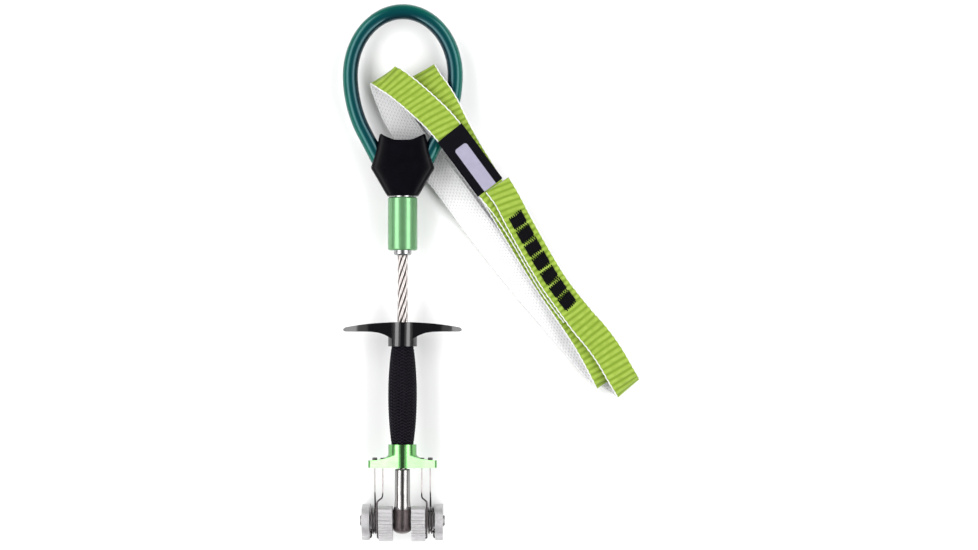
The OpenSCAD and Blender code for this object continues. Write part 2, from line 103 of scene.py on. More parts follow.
def spline(points, steps):
    """Catmull-Rom curve through points with any number of coordinates."""
    p = np.asarray(points, float)
    last = len(p) - 1
    out = []
    for i in range(last):
        a, b, c, d = p[max(i - 1, 0)], p[i], p[i + 1], p[min(i + 2, last)]
        for s in range(steps):
            u = s / steps
            out.append(0.5 * (2 * b + (c - a) * u + (2 * a - 5 * b + 4 * c - d) * u * u
                              + (3 * b - a - 3 * c + d) * u ** 3))
    out.append(p[last])
    return np.array(out)


def arc(path):
    """Distance along the path at each of its points."""
    return np.concatenate([[0], np.cumsum(np.linalg.norm(np.diff(path[:, :3], axis=0), axis=1))])


def even(path, step):
    """The same curve with its points about step apart."""
    a = arc(path)
    at = np.linspace(0, a[-1], max(2, int(round(a[-1] / step)) + 1))
    return np.stack([np.interp(at, a, path[:, k]) for k in range(path.shape[1])], 1)


def circle(sides, r, flat=1.0):
    """A ring of (up, sideways) offsets; flat squeezes it in the up direction."""
    a = np.arange(sides) * TAU / sides
    return np.stack([flat * r * np.cos(a), r * np.sin(a)], 1)


def ring_faces(rings, sides, closed=False):
    """Quads between neighbouring rings of points; closed joins the last ring to the first."""
    faces = []
    for i in range(rings if closed else rings - 1):
        j = (i + 1) % rings
        for k in range(sides):
            m = (k + 1) % sides
            faces.append([i * sides + k, i * sides + m, j * sides + m, j * sides + k])
    return faces


class Build:
    """Gathers the parts of one mesh, in millimetres."""

    def __init__(self):
        self.v, self.f, self.uv, self.m, self.n = [], [], [], [], 0

    def add(self, verts, faces, uvs, mats):
        self.v.append(np.asarray(verts, float).reshape(-1, 3))
        self.f += [[self.n + i for i in f] for f in faces]
        self.uv += uvs
        self.m += mats
        self.n += len(self.v[-1])

    def sweep(self, path, ring, up=(0, 0, 1), width=None, grow=None, mats=0, shift=None):
        """Sweeps a closed ring of (up, sideways) offsets along path. ring may differ at each point,
        width gives the sideways direction, grow scales each ring, mats is one number per side and
        shift moves the lengthwise texture coordinate of each point."""
        path = np.asarray(path, float)
        rows = len(path)
        t, n, b = frames(path, up)
        if width is not None:
            b = -unit(width - t * np.sum(width * t, axis=1, keepdims=True))
            n = np.cross(b, t)
        ring = np.asarray(ring, float)
        if ring.ndim == 2:
            ring = np.repeat(ring[None], rows, 0)
        if grow is not None:
            ring = ring * np.asarray(grow)[:, None, None]
        cols = ring.shape[1]
        verts = path[:, None] + ring[..., :1] * n[:, None] + ring[..., 1:] * b[:, None]
        along = np.repeat(arc(path)[:, None], cols, 1)
        if shift is not None:
            along = along + shift
        lap = np.linalg.norm(np.diff(ring[rows // 2], axis=0, append=ring[rows // 2][:1]), axis=1)
        round_ = np.concatenate([[0], np.cumsum(lap)])
        faces, uvs = ring_faces(rows, cols), []
        for i in range(rows - 1):
            for k in range(cols):
                m = (k + 1) % cols
                uvs += [(round_[k], along[i, k]), (round_[k + 1], along[i, m]),
                        (round_[k + 1], along[i + 1, m]), (round_[k], along[i + 1, k])]
        for row, flip in ((0, True), (rows - 1, False)):
            cap = [row * cols + k for k in range(cols)]
            faces.append(cap[::-1] if flip else cap)
            uvs += [(0.0, along[row, 0])] * cols
        side_mats = [mats] * cols if isinstance(mats, int) else mats
        self.add(verts, faces, uvs, side_mats * (rows - 1) + [side_mats[-1]] * 2)

    def lathe(self, profile, segments, mat):
        """Turns a closed profile of (radius, y) about the Y axis."""
        angles = TAU * np.arange(segments) / segments
        verts = [(r * math.sin(a), y, r * math.cos(a)) for r, y in profile for a in angles]
        uvs = []
        length = 0.0
        for i, (r0, y0) in enumerate(profile):
            r1, y1 = profile[(i + 1) % len(profile)]
            after = length + math.hypot(r1 - r0, y1 - y0)
            for k in range(segments):
                u0, u1 = k / segments, (k + 1) / segments
                uvs += [(u0, length), (u1, length), (u1, after), (u0, after)]
            length = after
        faces = ring_faces(len(profile), segments, closed=True)
        self.add(verts, faces, uvs, [mat] * len(faces))

    def piece(self, name, materials, nodes, laid=True, body=None):
        """Makes the object; laid tilts it with the stem, which lies at a slope on the table."""
        verts = np.concatenate(self.v)
        if laid:
            x, y, z = verts.T
            verts = np.stack([x, y * math.cos(LAY) + z * math.sin(LAY),
                              z * math.cos(LAY) - y * math.sin(LAY)], 1)
        mesh = bpy.data.meshes.new(name)
        mesh.from_pydata((verts * MM).tolist(), [], self.f)
        mesh.polygons.foreach_set("use_smooth", [True] * len(self.f))
        for m in materials:
            mesh.materials.append(m)
        mesh.polygons.foreach_set("material_index", self.m)
        layer = mesh.uv_layers.new(name="UVMap")
        layer.data.foreach_set("uv", np.array(self.uv, float).ravel())
        ob = bpy.data.objects.new(name, mesh)
        bpy.context.scene.collection.objects.link(ob)
        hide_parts(*nodes)
        if body:
            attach(ob, body)
        return ob


# ---------------------------------------------------------------- materials
class Paint:
    """A Principled material with a few helpers for its nodes. Lengths are in millimetres."""

    def __init__(self, name, **fixed):
        self.material = bpy.data.materials.new(name)
        self.material.use_nodes = True
        self.tree = self.material.node_tree
        self.shader = self.tree.nodes["Principled BSDF"]
        for socket, value in fixed.items():
            s = self.shader.inputs[socket.replace("_", " ")]
            s.default_value = (*value, 1) if isinstance(value, tuple) else value

    def node(self, kind, *inputs, **options):
        n = self.tree.nodes.new("ShaderNode" + kind)
        for k, v in options.items():
            setattr(n, k, v)
        for i, v in enumerate(inputs):
            if v is None:
                continue
            if isinstance(v, bpy.types.NodeSocket):
                self.tree.links.new(v, n.inputs[i])
            else:
                n.inputs[i].default_value = v
        return n

    def math(self, operation, *inputs):
        return self.node("Math", *inputs, operation=operation).outputs[0]

    def place(self, stretch=(1, 1, 1)):
        """The point in the object's own space, in mm, stretched."""
        co = self.node("TexCoord").outputs["Object"]
        return self.node("Mapping", co, None, None, tuple(1000 * s for s in stretch)).outputs[0]

    def noise(self, per_mm, detail=3.0, stretch=(1, 1, 1)):
        n = self.node("TexNoise", self.place(stretch))
        n.inputs["Scale"].default_value = per_mm
        n.inputs["Detail"].default_value = detail
        n.inputs["Roughness"].default_value = 0.55
        return n.outputs[0]

    def uv(self):
        """Texture coordinates in mm: round the ring of a sweep, and along its path."""
        s = self.node("SeparateXYZ", self.node("UVMap", uv_map="UVMap").outputs[0])
        return s.outputs[0], s.outputs[1]

    def mix(self, fac, a, b):
        n = self.node("Mix", data_type="RGBA")
        for socket, v in ((n.inputs[0], fac), (n.inputs[6], a), (n.inputs[7], b)):
            if isinstance(v, bpy.types.NodeSocket):
                self.tree.links.new(v, socket)
            else:
                socket.default_value = (*v, 1) if isinstance(v, tuple) else v
        return n.outputs[2]

    def ramp(self, value, lo, hi, out_lo=0.0, out_hi=1.0, smooth=False):
        n = self.node("MapRange", value, lo, hi, out_lo, out_hi)
        n.interpolation_type = "SMOOTHSTEP" if smooth else "LINEAR"
        return n.outputs[0]

    def color(self, socket):
        self.tree.links.new(socket, self.shader.inputs["Base Color"])

    def rough(self, socket):
        self.tree.links.new(socket, self.shader.inputs["Roughness"])

    def bump(self, height, depth_mm):
        """Raises the surface by height times depth_mm."""
        n = self.node("Bump")
        n.inputs["Distance"].default_value = depth_mm * MM
        self.tree.links.new(height, n.inputs["Height"])
        before = self.shader.inputs["Normal"]
        if before.is_linked:
            self.tree.links.new(before.links[0].from_socket, n.inputs["Normal"])
        self.tree.links.new(n.outputs[0], before)


def worked(name, dark, light, rough, grain, bump_mm, per_mm=1.0, **fixed):
    """Metal or plastic whose colour varies in soft patches, with fine marks along its grain."""
    p = Paint(name, **fixed)
    fine = p.noise(per_mm, 4, grain)
    soft = p.noise(0.25, 2)
    p.color(p.mix(p.ramp(p.math("ADD", fine, soft), 0.7, 1.3), dark, light))
    p.rough(p.ramp(fine, 0.3, 0.7, *rough))
    p.bump(fine, bump_mm)
    return p.material


head_steel = worked("head_steel", (0.10, 0.083, 0.087), (0.20, 0.17, 0.165), (0.28, 0.44),
                    (1, 9, 1), 0.012, per_mm=0.9, Metallic=1.0)
polished_steel = worked("polished_steel", (0.22, 0.212, 0.212), (0.29, 0.28, 0.278), (0.12, 0.20),
                        (3, 0.25, 3), 0.002, Metallic=1.0)
axle_steel = worked("axle_steel", (0.12, 0.118, 0.12), (0.20, 0.195, 0.195), (0.34, 0.48),
                    (0.6, 5, 5), 0.004, Metallic=1.0)
rope_steel = worked("rope_steel", (0.17, 0.152, 0.145), (0.26, 0.235, 0.225), (0.26, 0.40),
                    (2, 0.5, 2), 0.004, Metallic=1.0)
rope_heart = worked("rope_heart", (0.03, 0.027, 0.025), (0.06, 0.055, 0.05), (0.5, 0.65),
                    (2, 0.5, 2), 0.01, Metallic=1.0)
bush_steel = worked("bush_steel", (0.30, 0.30, 0.31), (0.42, 0.42, 0.43), (0.34, 0.48),
                    (9, 1, 1), 0.006, Metallic=1.0)
spring_steel = worked("spring_steel", (0.055, 0.048, 0.052), (0.11, 0.098, 0.102), (0.28, 0.42),
                      (1, 1, 1), 0.004, per_mm=4, Metallic=1.0)
green_metal = worked("green_metal", (0.125, 0.33, 0.108), (0.160, 0.41, 0.140), (0.13, 0.20),
                     (0.4, 4, 0.4), 0.002, Metallic=1.0)
sleeve_metal = worked("sleeve_metal", (0.098, 0.235, 0.104), (0.116, 0.268, 0.124), (0.20, 0.24),
                      (3, 0.4, 3), 0.003, Metallic=0.5)
bare_metal = worked("bare_metal", (0.30, 0.30, 0.305), (0.38, 0.38, 0.385), (0.18, 0.30),
                    (0.4, 5, 0.4), 0.004, Metallic=1.0)
liner_plastic = worked("liner_plastic", (0.56, 0.56, 0.54), (0.64, 0.64, 0.62), (0.35, 0.5),
                       (1, 1, 1), 0.01)
trigger_plastic = worked("trigger_plastic", (0.0005, 0.0004, 0.0010), (0.0011, 0.0009, 0.0018),
                         (0.09, 0.14), (1, 1, 1), 0.002, per_mm=2.5, Specular_IOR_Level=0.6)


# ---------------------------------------------------------------- stem rope
STEM_R = 2.05
STRAND_R = STEM_R / 3
# Length of one turn of a strand about the core.
ROPE_LAY = 28.4
ROPE_Y = (17.5, 104.5)
STRANDS = 6
# The wires on the outside of each strand, and how often they turn about it for each turn it makes.
STRAND_WIRES = 9
WIRE_TURNS = 2.2


def rope_paint():
    """Bright strands, with painted shade darkening the grooves between them."""
    p = Paint("rope_strand", Metallic=1.0)
    u, _ = p.uv()
    outward = p.math("COSINE", p.math("MULTIPLY", u, 1 / (0.97 * STRAND_R)))
    scratch = p.noise(1.0, 4, (2, 0.5, 2))
    body = p.mix(scratch, (0.36, 0.33, 0.32), (0.50, 0.465, 0.45))
    # painted shade: the sides of each strand that face into the grooves get the dark colour
    p.color(p.mix(p.ramp(outward, 0.2, 0.8, smooth=True), (0.07, 0.06, 0.057), body))
    p.rough(p.ramp(scratch, 0.3, 0.7, 0.26, 0.40))
    p.bump(scratch, 0.004)
    return p.material


def rope(build, y0, y1):
    """Strands, each rippled by the wires on its outside, laid to the right about a core."""
    y = np.linspace(y0, y1, int((y1 - y0) / 0.5))
    turn = TAU * y / ROPE_LAY
    sides = np.arange(45) * TAU / 45
    for i in range(STRANDS):
        a = turn + TAU * i / STRANDS
        out = np.stack([np.sin(a), np.zeros_like(a), np.cos(a)], 1)
        centre = out * 2 * STRAND_R + np.stack([0 * y, y, 0 * y], 1)
        wire_turn = STRAND_WIRES * (sides[None] + WIRE_TURNS * turn[:, None])
        r = STRAND_R * (0.955 + 0.035 * np.cos(wire_turn))
        ring = np.stack([r * np.cos(sides), r * np.sin(sides)], 2)
        build.sweep(centre, ring, width=np.cross(out, tangents(centre)))
    line = np.stack([0 * y[::8], y[::8], 0 * y[::8]], 1)
    build.sweep(line, circle(12, STRAND_R * 1.12), mats=1)


b = Build()
rope(b, *ROPE_Y)
b.piece("stem_rope", [rope_paint(), rope_heart], ["stem_cable"], body="stem")

# ---------------------------------------------------------------- braided sheath
YOKE_TOP = 29.3
TRIGGER_BOTTOM = 67.0
SHEATH_Y = (25.4, 70.7)
# Yarns that go each way round, and how far each climbs from one crossing to the next.
CARRIERS = 12
ROW = 1.19
YARN_W, YARN_FLAT = 0.50, 0.42
# The yarns' middle is this far under the sheath's surface, and each weaves this far in and out.
YARN_DEPTH, YARN_WEAVE = 0.40, 0.19
SHEATH_R, SHEATH_SWELL = 4.2, 1.4
# Radius of a circle with about the girth of the flattened yarn.
YARN_R = 0.366


def braid_paint():
    """Black yarn with fine filaments; the crest of each yarn is painted lighter as a highlight."""
    p = Paint("black_braid", Specular_IOR_Level=0.03, Roughness=0.4)
    u, v = p.uv()
    crest = p.math("COSINE", p.math("MULTIPLY", u, 1 / YARN_R))
    twist = p.math("ADD", p.math("MULTIPLY", u, 9.0), p.math("MULTIPLY", v, TAU / 3.2))
    # painted highlight: a narrow band on each yarn's crest is lighter, in random patches; the rest
    # stays near black
    crest_highlight = p.mix(p.ramp(p.noise(0.8, 3), 0.3, 0.7), (0.019, 0.016, 0.025), (0.031, 0.026, 0.039))
    p.color(p.mix(p.ramp(crest, 0.91, 1.0), (0.0003, 0.0002, 0.0006), crest_highlight))
    p.bump(p.math("SINE", twist), 0.02)
    return p.material


def sheath_r(y):
    """Radius of the sheath, which swells between the yoke and the trigger."""
    u = np.clip((y - YOKE_TOP) / (TRIGGER_BOTTOM - YOKE_TOP), 0, 1)
    return SHEATH_R + SHEATH_SWELL * np.sin(math.pi * u) ** 0.75


def braid(build):
    """Two sets of yarns that wind opposite ways and weave over and under, over a thin black tube."""
    y = np.linspace(*SHEATH_Y, int((SHEATH_Y[1] - SHEATH_Y[0]) / ROW * 9))
    middle = sheath_r(y) - YARN_DEPTH
    for way in (1, -1):
        for i in range(CARRIERS):
            a = way * TAU * y / (CARRIERS * ROW) + TAU * i / CARRIERS
            r = middle + way * YARN_WEAVE * np.cos(CARRIERS * a)
            path = np.stack([r * np.sin(a), y, r * np.cos(a)], 1)
            out = unit(np.stack([np.sin(a), 0 * a, np.cos(a)], 1))
            side = np.cross(out, tangents(path))
            build.sweep(path, circle(8, YARN_W, YARN_FLAT), up=out[0], width=side)
    ys = np.linspace(YOKE_TOP - 1, TRIGGER_BOTTOM + 1, 40)
    outside = list(zip(sheath_r(ys) - 0.52, ys))
    inside = list(zip(sheath_r(ys[::-1]) - 0.75, ys[::-1]))
    build.lathe(outside + inside, 48, 1)


black_core = worked("braid_core", (0.003, 0.003, 0.004), (0.006, 0.006, 0.008), (0.7, 0.8),
                    (1, 1, 1), 0.02)
b = Build()
braid(b)
b.piece("sheath_braid", [braid_paint(), black_core], ["braided_sheath"],
        body="trigger")

# ---------------------------------------------------------------- trigger wires
# The hook holes' radius about the axle, and how far past it they stand when the lobes are open.
HOOK_R = 6.9
HOOK_ANGLE = math.radians(42.5)
HOOK_Y = -HOOK_R * math.sin(HOOK_ANGLE)
# The wires run at the middle height of the arc that the holes follow.
WIRE_Z = HOOK_R * (1 + math.cos(HOOK_ANGLE)) / 2
WIRE_R = 0.36
WIRE_DARK_Y = 10.7
INNER = [(7.5, 24.15, 1.8), (7.5, 20.0, 1.8), (7.5, 12.0, 2.6), (7.5, 10.0, 3.4), (7.8, 8.9, 4.4),
         (8.8, 8.1, 5.3), (9.5, 7.1, WIRE_Z)]
OUTER = [(10.7, 24.15, 0.7), (10.7, 20.0, 0.7), (10.7, 12.0, 1.8), (10.7, 8.6, 4.0),
         (10.7, 6.4, 5.6)]


def wire_paint():
    """Bright drawn wire whose lower end, below the crimp, is painted dark as shade."""
    p = Paint("wire_steel", Metallic=1.0)
    y = p.node("SeparateXYZ", p.place()).outputs[1]
    scratch = p.noise(1.0, 4, (4, 0.5, 4))
    upper = p.mix(scratch, (0.27, 0.235, 0.235), (0.36, 0.32, 0.32))
    lower = p.mix(scratch, (0.05, 0.043, 0.045), (0.10, 0.088, 0.09))
    # painted shade: below WIRE_DARK_Y the wire gets the dark colour instead of the bright one
    p.color(p.mix(p.ramp(y, WIRE_DARK_Y - 0.3, WIRE_DARK_Y + 0.3), lower, upper))
    p.rough(p.ramp(scratch, 0.3, 0.7, 0.24, 0.36))
    p.bump(scratch, 0.003)
    return p.material


def trigger_wire(name, node, route, x, tip, mirror_x, mirror_z):
    """A wire from the yoke along route, then down at x, with a hook that ends at tip in the lobe."""
    into = math.copysign(1, tip - x)
    hook = [(x, 4.0, WIRE_Z), (x, HOOK_Y + 1.2, WIRE_Z), (x, HOOK_Y + 0.6, WIRE_Z),
            (x + 0.18 * into, HOOK_Y + 0.18, WIRE_Z), (x + 0.6 * into, HOOK_Y, WIRE_Z),
            (tip - 0.1 * into, HOOK_Y, WIRE_Z)]
    path = even(spline(route + hook, 8), 0.25)
    path = path * np.array([mirror_x, 1, mirror_z])
    # thicker in its dark lower end, with rounded tips
    grow = np.interp(path[:, 1], [6.5, WIRE_DARK_Y, WIRE_DARK_Y + 0.4], [1.0, 0.72, 0.6])
    grow[[0, -1]] *= 0.6
    grow[[1, -2]] *= 0.92
    build = Build()
    build.sweep(path, circle(12, WIRE_R), grow=grow)
    return build.piece(name, [wire_look], [node], body="trigger")


wire_look = wire_paint()
for side, sx in SIDES:
    trigger_wire("wire_inner_" + side, "inner_wire_" + side, INNER, 9.5, 7.6, sx, 1)
    trigger_wire("wire_outer_" + side, "outer_wire_" + side, OUTER, 10.7, 14.0, sx, -1)

# ---------------------------------------------------------------- torsion springs
SPRING_R = 4.85
SPRING_WIRE = 0.33
SPRING_X = (9.4, 12.1)
SPRING_TURNS = 2
# Where each leg's foot enters its lobe: radius and angle about the axle.
LEG_R = 6.8
LEG_ANGLE = math.radians(75)


def spring_point(x, r, a):
    return np.array([x, -r * math.sin(a), r * math.cos(a)])


def spring_route():
    """Leg, coil and leg, from the inner lobe to the outer one."""
    leave = LEG_ANGLE - math.acos(SPRING_R / LEG_R)
    total = 2 * leave + math.pi + TAU * SPRING_TURNS
    u = np.linspace(0, 1, 161)
    coil = [spring_point(SPRING_X[0] + (SPRING_X[1] - SPRING_X[0]) * k, SPRING_R, leave - total * k)
            for k in u]
    foot0 = spring_point(SPRING_X[0], LEG_R, LEG_ANGLE)
    foot1 = spring_point(SPRING_X[1], LEG_R, math.pi - LEG_ANGLE)
    pin, bend = np.array([1.5, 0, 0]), np.array([0.4, 0, 0])
    towards = unit(coil[0] - foot0) * 0.4
    back = unit(coil[-1] - foot1) * 0.4
    start = spline([foot0 - pin, foot0 - bend, foot0 + towards, (foot0 + coil[0]) / 2, coil[0]], 5)
    end = spline([coil[-1], (foot1 + coil[-1]) / 2, foot1 + back, foot1 + bend, foot1 + pin], 5)
    return start[:-1], np.array(coil), end[1:]


start, coil, end = spring_route()
half = len(coil) // 2
for side, sx in SIDES:
    for what, path, x_end in (("inner", np.concatenate([start, coil[:half + 1]]), SPRING_X[0]),
                              ("outer", np.concatenate([coil[half:], end]), SPRING_X[1])):
        b = Build()
        b.sweep(path * np.array([sx, 1, 1]), circle(8, SPRING_WIRE))
        ob = b.piece(f"spring_{what}_{side}", [spring_steel], ["torsion_spring_" + side])
        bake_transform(ob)

# ---------------------------------------------------------------- thumb loop
TUBE_R = 2.95
# The top is half an ellipse: its half width, the place of its centre and its height.
LOOP_HALF, LOOP_Y, LOOP_RISE = 20.3, 171.7, 24.8
# Each leg runs straight from just above the boot to the boot's lower end.
LEG_X, LEG_Y, LEG_IN_X, LEG_IN_Y = 15.3, 150.5, 2.05, 125.2
LEG_SLOPE = math.atan((LEG_X - LEG_IN_X) / (LEG_Y - LEG_IN_Y))
# How far the tube goes on down the leg, into the boot.
COVER_LEG = 16.2


def tube_paint():
    """Glossy plastic tube, painted lighter and greener on the outside of its bend and darker on the
    inside, as painted light and shade.
    """
    p = Paint("teal_tube", Specular_IOR_Level=0.42, Specular_Tint=(0.5, 0.95, 1.0))
    u, _ = p.uv()
    # painted light and shade: the outside of the bend gets a lighter green, the inside a dark blue
    # green
    side = p.math("SINE", p.math("MULTIPLY", u, 1 / TUBE_R))
    outer = p.mix(p.ramp(side, -0.1, 0.95, smooth=True), (0.0005, 0.029, 0.034),
                  (0.0004, 0.078, 0.054))
    inner = p.mix(p.ramp(side, -0.1, -0.85, smooth=True), outer, (0.0004, 0.006, 0.013))
    cloud = p.noise(0.18, 2)
    p.color(p.mix(p.ramp(cloud, 0.35, 0.65, 0.0, 0.3), inner, (0.0006, 0.026, 0.030)))
    p.rough(p.ramp(p.noise(3, 3), 0.3, 0.7, 0.09, 0.15))
    p.bump(p.noise(2.5, 2), 0.002)
    return p.material


def loop_route():
    """Up one leg from inside the boot, through a bend to half an ellipse, and down the other leg."""
    s, c = math.sin(LEG_SLOPE), math.cos(LEG_SLOPE)
    low = np.linspace((LEG_X - COVER_LEG * s, LEG_Y - COVER_LEG * c), (LEG_X, LEG_Y), 14)[:-1]
    p = [np.array(q) for q in ((LEG_X, LEG_Y), (LEG_X + 6 * s, LEG_Y + 6 * c),
                               (LOOP_HALF, LOOP_Y - 8), (LOOP_HALF, LOOP_Y))]
    u = np.linspace(0, 1, 25)[:-1, None]
    bend = ((1 - u) ** 3 * p[0] + 3 * u * (1 - u) ** 2 * p[1] + 3 * u * u * (1 - u) * p[2]
            + u ** 3 * p[3])
    a = np.linspace(0, math.pi, 121)
    top = np.stack([LOOP_HALF * np.cos(a), LOOP_Y + LOOP_RISE * np.sin(a)], 1)
    leg = np.concatenate([low, bend])
    flat = np.concatenate([leg, top, leg[::-1] * np.array([-1, 1])])
    return np.concatenate([flat, np.zeros((len(flat), 1))], 1)


b = Build()
b.sweep(even(loop_route(), 0.7), circle(40, TUBE_R))
b.piece("loop_tube", [tube_paint()], ["loop_cover"], body="stem")

# ---------------------------------------------------------------- boot
BOOT_Y = (125.1, 149.0)
BOOT_SIDES = 72
# Exponent of the rounded rectangles that its sections are.
BOOT_POWER = 2 / 5.0
SADDLE_HALF, SADDLE_DEPTH = 8.2, 2.7


def rubber_paint():
    """Moulded rubber with a fine grain and a dusty bloom."""
    p = Paint("boot_rubber", Specular_IOR_Level=0.07)
    cloud = p.noise(0.22, 3)
    p.color(p.mix(p.ramp(cloud, 0.35, 0.65), (0.0006, 0.0005, 0.0013), (0.0012, 0.0010, 0.0023)))
    p.rough(p.ramp(p.noise(1.2, 4), 0.3, 0.7, 0.30, 0.38))
    p.bump(p.noise(5.5, 3), 0.010)
    p.bump(p.noise(0.35, 2), 0.03)
    return p.material


def saddle(x):
    """How much lower the hollow in the boot's top is at x than at its sides."""
    return SADDLE_DEPTH * np.clip(1 - (x / SADDLE_HALF) ** 2, 0, 1)


def rounded(wave):
    """Turns a circle's sine or cosine into that of a rounded rectangle."""
    return np.sign(wave) * np.abs(wave) ** BOOT_POWER


def boot(build):
    """A tapered rubber shield: rounded sections along the stem, hollowed at the top for a thumb."""
    # half widths and half depths, at these fractions of its height
    height = [0.0, 0.012, 0.05, 0.23, 0.41, 0.44, 0.465, 0.49, 0.58, 0.72, 0.87, 0.95, 0.985, 1.0]
    widths = [5.9, 6.2, 6.75, 9.2, 11.75, 12.15, 12.2, 12.0, 11.3, 10.3, 9.55, 9.15, 8.95, 8.5]
    depths = [5.1, 5.4, 5.4, 5.2, 4.95, 4.9, 4.85, 4.8, 4.7, 4.5, 4.3, 4.2, 4.05, 3.7]
    s = np.linspace(0, 1, 61)
    s = np.sort(np.concatenate([s, [0.006, 0.012, 0.99, 0.995]]))
    w = np.interp(s, height, widths)
    d = np.interp(s, height, depths)
    a = np.arange(BOOT_SIDES) * TAU / BOOT_SIDES
    rows = []
    for k, f in enumerate(s):
        x = w[k] * rounded(np.sin(a))
        z = d[k] * rounded(np.cos(a))
        y = BOOT_Y[0] + f * (BOOT_Y[1] - BOOT_Y[0]) - saddle(x) * f ** 5
        rows.append(np.stack([x, y, z], 1))
    # both ends are drawn in to flat caps
    last = rows[-1]
    for inset, drop in ((0.93, 0.1), (0.82, 0.35), (0.6, 0.5), (0.3, 0.55)):
        ring = last * np.array([1, 1, inset])
        ring[:, 0] *= 0.5 + inset / 2
        ring[:, 1] = BOOT_Y[1] - drop - saddle(ring[:, 0])
        rows.append(ring)
    first = rows[0]
    for inset, rise in ((0.93, 0.0), (0.8, 0.15)):
        ring = first * np.array([inset, 1, inset])
        ring[:, 1] = BOOT_Y[0] + rise
        rows.insert(0, ring)
    faces = ring_faces(len(rows), BOOT_SIDES)
    uvs = []
    for i in range(len(rows) - 1):
        for k in range(BOOT_SIDES):
            uvs += [(k, i), (k + 1, i), (k + 1, i + 1), (k, i + 1)]
    faces.append(list(range(BOOT_SIDES))[::-1])
    faces.append([(len(rows) - 1) * BOOT_SIDES + k for k in range(BOOT_SIDES)])
    uvs += [(0, 0)] * (2 * BOOT_SIDES)
    build.add(np.array(rows), faces, uvs, [0] * len(faces))


b = Build()
boot(b)
b.piece("rubber_boot", [rubber_paint()], ["boot"], body="stem")

# ---------------------------------------------------------------- sling
WEB_T = 1.2
# Distance from one rib to the next.
RIB = 2.33
# The strap's route, as in the CAD: x, y, z, then the direction and the tilt of its width in degrees.
SLING = [
    (36.6, 129.4, -2.9, 34, 0), (40.2, 124.0, -3.6, 34, 0), (44.5, 115.8, -4.4, 33, 0),
    (48.9, 107.8, -4.9, 33, 0), (53.5, 99.8, -5.0, 33, 0), (58.5, 91.6, -4.6, 34, 0),
    (63.7, 84.4, -3.8, 35, 0), (69.2, 77.2, -2.7, 33, 0), (74.8, 70.6, -1.5, 31, 0),
    (79.6, 63.9, -0.7, 29, 0), (83.4, 57.4, -0.9, 31, 0), (86.0, 52.9, -2.6, 37, -2),
    (87.0, 51.0, -5.8, 41, -4), (86.2, 51.4, -8.8, 42, -3), (83.4, 53.6, -10.8, 42, 0),
    (77.6, 58.4, -11.4, 41, 0), (66.4, 69.8, -11.4, 39, 0), (54.6, 83.2, -11.4, 38, 0),
    (42.8, 97.4, -11.4, 37, 0), (32.0, 111.6, -11.4, 33, 0), (22.6, 127.0, -11.4, 28, 0),
    (15.8, 143.0, -11.4, 22, 0), (11.6, 158.0, -11.4, 21, 0), (9.4, 167.0, -10.8, 24, 0),
    (8.0, 171.1, -8.8, 28, 0), (7.6, 172.9, -6.0, 30, 0), (8.2, 172.1, -3.2, 31, 0),
    (10.2, 168.7, -1.2, 32, 0), (13.6, 164.0, -0.4, 32, 0), (17.0, 158.2, -0.2, 31, 0),
    (20.4, 151.2, -0.2, 31, 0), (25.2, 142.6, -2.0, 32, 0), (31.2, 133.0, -4.9, 33, 0),
    (37.6, 122.6, -7.2, 33, 0), (43.6, 112.6, -8.0, 33, 0), (50.2, 101.6, -8.3, 33, 0),
    (57.2, 90.4, -7.7, 33, 0), (64.0, 80.4, -6.1, 32, 0), (70.2, 71.0, -3.9, 30, 0),
    (75.0, 62.6, -2.7, 29, 0), (77.9, 57.0, -3.0, 31, 0), (79.2, 54.4, -4.9, 33, 0),
    (79.0, 54.2, -7.4, 35, 0), (76.8, 56.4, -9.4, 37, 0), (71.2, 62.8, -9.9, 38, 0),
    (61.2, 74.4, -9.9, 38, 0), (50.0, 87.4, -9.9, 38, 0), (38.6, 101.4, -9.9, 37, 0),
    (27.8, 115.4, -9.9, 35, 0), (17.6, 129.2, -9.9, 33, 0), (7.2, 142.2, -9.9, 30, 0),
    (-1.4, 154.5, -9.9, 27, 0), (-5.0, 162.6, -9.6, 27, 0), (-7.0, 168.4, -7.6, 30, 0),
    (-7.5, 170.8, -4.4, 33, 0), (-6.3, 170.6, -1.4, 35, 2), (-2.7, 168.6, 0.6, 38, 2),
    (2.2, 164.8, 1.5, 42, 0), (7.9, 159.8, 1.7, 42, 0), (13.4, 154.6, 1.6, 41, 0),
    (18.1, 149.2, 1.4, 38, 0), (23.6, 142.0, -0.1, 35, 0), (28.8, 135.0, -2.1, 34, 0),
    (34.2, 127.8, -4.0, 34, 0), (38.8, 121.8, -5.1, 34, 0), (43.6, 114.6, -5.8, 33, 0),
    (48.2, 107.1, -6.3, 33, 0), (52.8, 99.0, -6.4, 33, 0), (57.6, 91.0, -6.0, 34, 0),
    (62.8, 83.8, -5.2, 35, 0), (66.4, 79.4, -4.7, 34, 0)]
SPLINE_STEPS = 20
fine = spline(SLING, SPLINE_STEPS)
fine_arc = arc(fine)
SLING_LENGTH = float(fine_arc[-1])


def width_of(q):
    """Direction across the strap at each point."""
    a, t = np.radians(q[:, 3]), np.radians(q[:, 4])
    return np.stack([np.cos(a) * np.cos(t), np.sin(a) * np.cos(t), np.sin(t)], 1)


def sling_arc(index):
    """Distance along the webbing, in mm, at a place in the list of its points."""
    return float(np.interp(index * SPLINE_STEPS, np.arange(len(fine_arc)), fine_arc))


def sling_index(at):
    """The place in the list of points, as a number with a fraction, at a distance along it."""
    return np.interp(at, fine_arc, np.arange(len(fine_arc)) / SPLINE_STEPS)


def sling_slice(from_mm, to_mm, step):
    """Points of the route about step apart, and the distance along it at each."""
    at = np.linspace(from_mm, to_mm, max(2, int(round((to_mm - from_mm) / step)) + 1))
    return np.stack([np.interp(at, fine_arc, fine[:, k]) for k in range(5)], 1), at


